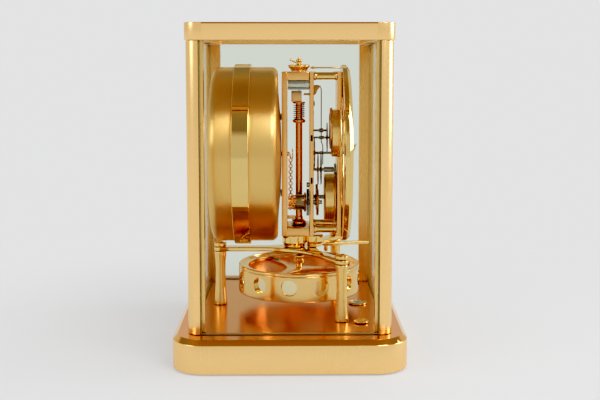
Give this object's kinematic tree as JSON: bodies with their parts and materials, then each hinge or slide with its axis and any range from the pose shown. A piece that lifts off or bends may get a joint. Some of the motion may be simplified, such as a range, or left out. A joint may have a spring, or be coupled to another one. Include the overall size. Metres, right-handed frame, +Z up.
{
  "type": "anniversary clock",
  "caption": "Glazed gilt table clock: torsion balance on three pillars, sealed bellows drum, skeleton movement between two plates and a ring dial, in a glazed case.",
  "frame": {"origin": "on the surface under the middle of the base", "axes": "+Z up, -Y towards the viewer of the dial, +X to the right of the dial"},
  "size_m": [0.206, 0.1608, 0.235],
  "materials": {
    "satin_gilt": "satin brushed gilt",
    "polished_gilt": "polished gilt",
    "gilt_movement": "fine grained gilt",
    "copper_tube": "polished copper-toned brass",
    "steel": "polished steel",
    "blued_wire": "darkened steel",
    "glass": "clear polished glass",
    "dark_cover": "matte black",
    "dial_ring": "polished gilt ring with a white face"
  },
  "bodies": {
    "case": {"base_cover": "dark_cover", "base_plinth": "satin_gilt", "bellows": "copper_tube", "click": "steel", "dial_ring": "dial_ring", "drum_band": "polished_gilt", "drum_front_shell": "satin_gilt", "drum_rear_shell": "satin_gilt", "escapement_cover": "satin_gilt", "front_plate": "gilt_movement", "left_glass": "glass", "mainspring": "steel", "pedestal": "polished_gilt", "pillar_front_left": "satin_gilt", "pillar_front_right": "satin_gilt", "pillar_rear": "satin_gilt", "plate_pillar_bottom_left": "polished_gilt", "plate_pillar_bottom_right": "polished_gilt", "plate_pillar_top_left": "polished_gilt", "plate_pillar_top_right": "polished_gilt", "post_front_left": "satin_gilt", "post_front_right": "satin_gilt", "post_rear_left": "satin_gilt", "post_rear_right": "satin_gilt", "rear_bracket": "gilt_movement", "rear_foot": "dark_cover", "rear_glass": "glass", "rear_plate": "gilt_movement", "return_spring": "steel", "right_glass": "glass", "spirit_level": "polished_gilt", "support_platform": "polished_gilt", "suspension_clamp": "steel", "top_frame": "satin_gilt", "top_glass": "glass", "torsion_wire": "steel"},
    "front_pane": {"front_glass": "glass"},
    "left_levelling_screw": {"levelling_screw_left": "polished_gilt"},
    "right_levelling_screw": {"levelling_screw_right": "polished_gilt"},
    "balance": {"balance_ring": "polished_gilt", "balance_spider": "gilt_movement", "balance_staff": "gilt_movement", "suspension_tube": "copper_tube", "suspension_spring": "steel"},
    "lock": {"lock_lever": "polished_gilt"},
    "regulator": {"regulator_wheel": "polished_gilt", "regulator_rod": "polished_gilt"},
    "bellows_plunger": {"push_plate": "gilt_movement"},
    "chain": {"winding_chain": "gilt_movement"},
    "chain_drum": {"winding_drum": "gilt_movement"},
    "winding_arbor": {"winding_gear": "copper_tube", "ratchet_wheel": "steel"},
    "barrel_arbor_body": {"barrel_arbor": "steel"},
    "barrel": {"mainspring_barrel": "satin_gilt"},
    "second_arbor": {"second_wheel": "copper_tube"},
    "centre_arbor": {"centre_wheel": "copper_tube", "minute_hand": "gilt_movement"},
    "hour_pipe": {"hour_hand": "gilt_movement"},
    "escape_arbor": {"escape_wheel": "steel"},
    "pallets": {"pallet_lever": "blued_wire"}
  },
  "joints": [
    {"name": "balance_swing", "type": "hinge", "parent": "case", "child": "balance", "pos_m": [0, -0.0069, 0.046], "axis": [0, 0, 1], "range_deg": [-95, 95], "stiffness_Nm_per_rad": 0.000004},
    {"name": "lock_lever_swing", "type": "hinge", "parent": "case", "child": "lock", "pos_m": [0.0381, -0.0289, 0.063], "axis": [0, 0, 1], "range_deg": [-25, 0]},
    {"name": "regulator_turn", "type": "hinge", "parent": "case", "child": "regulator", "pos_m": [0, -0.0069, 0.205], "axis": [0, 0, 1], "range_deg": [-20, 20]},
    {"name": "front_pane_lift", "type": "slide", "parent": "case", "child": "front_pane", "axis": [0, 0, 1], "range_m": [0, 0.006]},
    {"name": "left_screw_turn", "type": "hinge", "parent": "case", "child": "left_levelling_screw", "pos_m": [-0.056, -0.0506, 0.01], "axis": [0, 0, 1], "range_deg": [-540, 540]},
    {"name": "right_screw_turn", "type": "hinge", "parent": "case", "child": "right_levelling_screw", "pos_m": [0.056, -0.0506, 0.01], "axis": [0, 0, 1], "range_deg": [-540, 540]},
    {"name": "plunger_stroke", "type": "slide", "parent": "case", "child": "bellows_plunger", "axis": [0, -1, 0], "range_m": [0, 0.003], "stiffness_N_per_m": 150},
    {"name": "chain_travel", "type": "slide", "parent": "case", "child": "chain", "axis": [0, 0, -1], "range_m": [0, 0.003]},
    {"name": "chain_drum_turn", "type": "hinge", "parent": "case", "child": "chain_drum", "pos_m": [-0.014, -0.006, 0.10435], "axis": [0, 1, 0], "range_deg": [0, 36]},
    {"name": "winding_arbor_turn", "type": "hinge", "parent": "case", "child": "winding_arbor", "pos_m": [-0.014, -0.018, 0.10435], "axis": [0, 1, 0], "continuous": true},
    {"name": "barrel_arbor_turn", "type": "hinge", "parent": "case", "child": "barrel_arbor_body", "pos_m": [0.006, -0.025, 0.1056], "axis": [0, 1, 0], "continuous": true},
    {"name": "minute_turn", "type": "hinge", "parent": "case", "child": "centre_arbor", "pos_m": [0, -0.025, 0.14], "axis": [0, 1, 0], "continuous": true},
    {"name": "hour_turn", "type": "hinge", "parent": "case", "child": "hour_pipe", "pos_m": [0, -0.045, 0.14], "axis": [0, 1, 0], "continuous": true},
    {"name": "barrel_turn", "type": "hinge", "parent": "case", "child": "barrel", "pos_m": [0.006, -0.03, 0.1056], "axis": [0, 1, 0], "continuous": true},
    {"name": "second_wheel_turn", "type": "hinge", "parent": "case", "child": "second_arbor", "pos_m": [-0.0055, -0.025, 0.12796], "axis": [0, 1, 0], "continuous": true},
    {"name": "escape_turn", "type": "hinge", "parent": "case", "child": "escape_arbor", "pos_m": [0.006, -0.025, 0.1512], "axis": [0, 1, 0], "continuous": true},
    {"name": "pallet_rock", "type": "hinge", "parent": "case", "child": "pallets", "pos_m": [-0.003, -0.025, 0.1573], "axis": [0, 1, 0], "range_deg": [-3.5, 3.5]}
  ],
  "couplings": [
    {"joint": "chain_travel", "follows": "plunger_stroke", "ratio": 1},
    {"joint": "chain_drum_turn", "follows": "plunger_stroke", "rad_per_m": 208.33},
    {"joint": "barrel_arbor_turn", "follows": "winding_arbor_turn", "ratio": -1},
    {"joint": "hour_turn", "follows": "minute_turn", "ratio": 0.083333},
    {"joint": "second_wheel_turn", "follows": "minute_turn", "ratio": -0.1},
    {"joint": "barrel_turn", "follows": "minute_turn", "ratio": 0.025},
    {"joint": "escape_turn", "follows": "minute_turn", "ratio": -10}
  ]
}
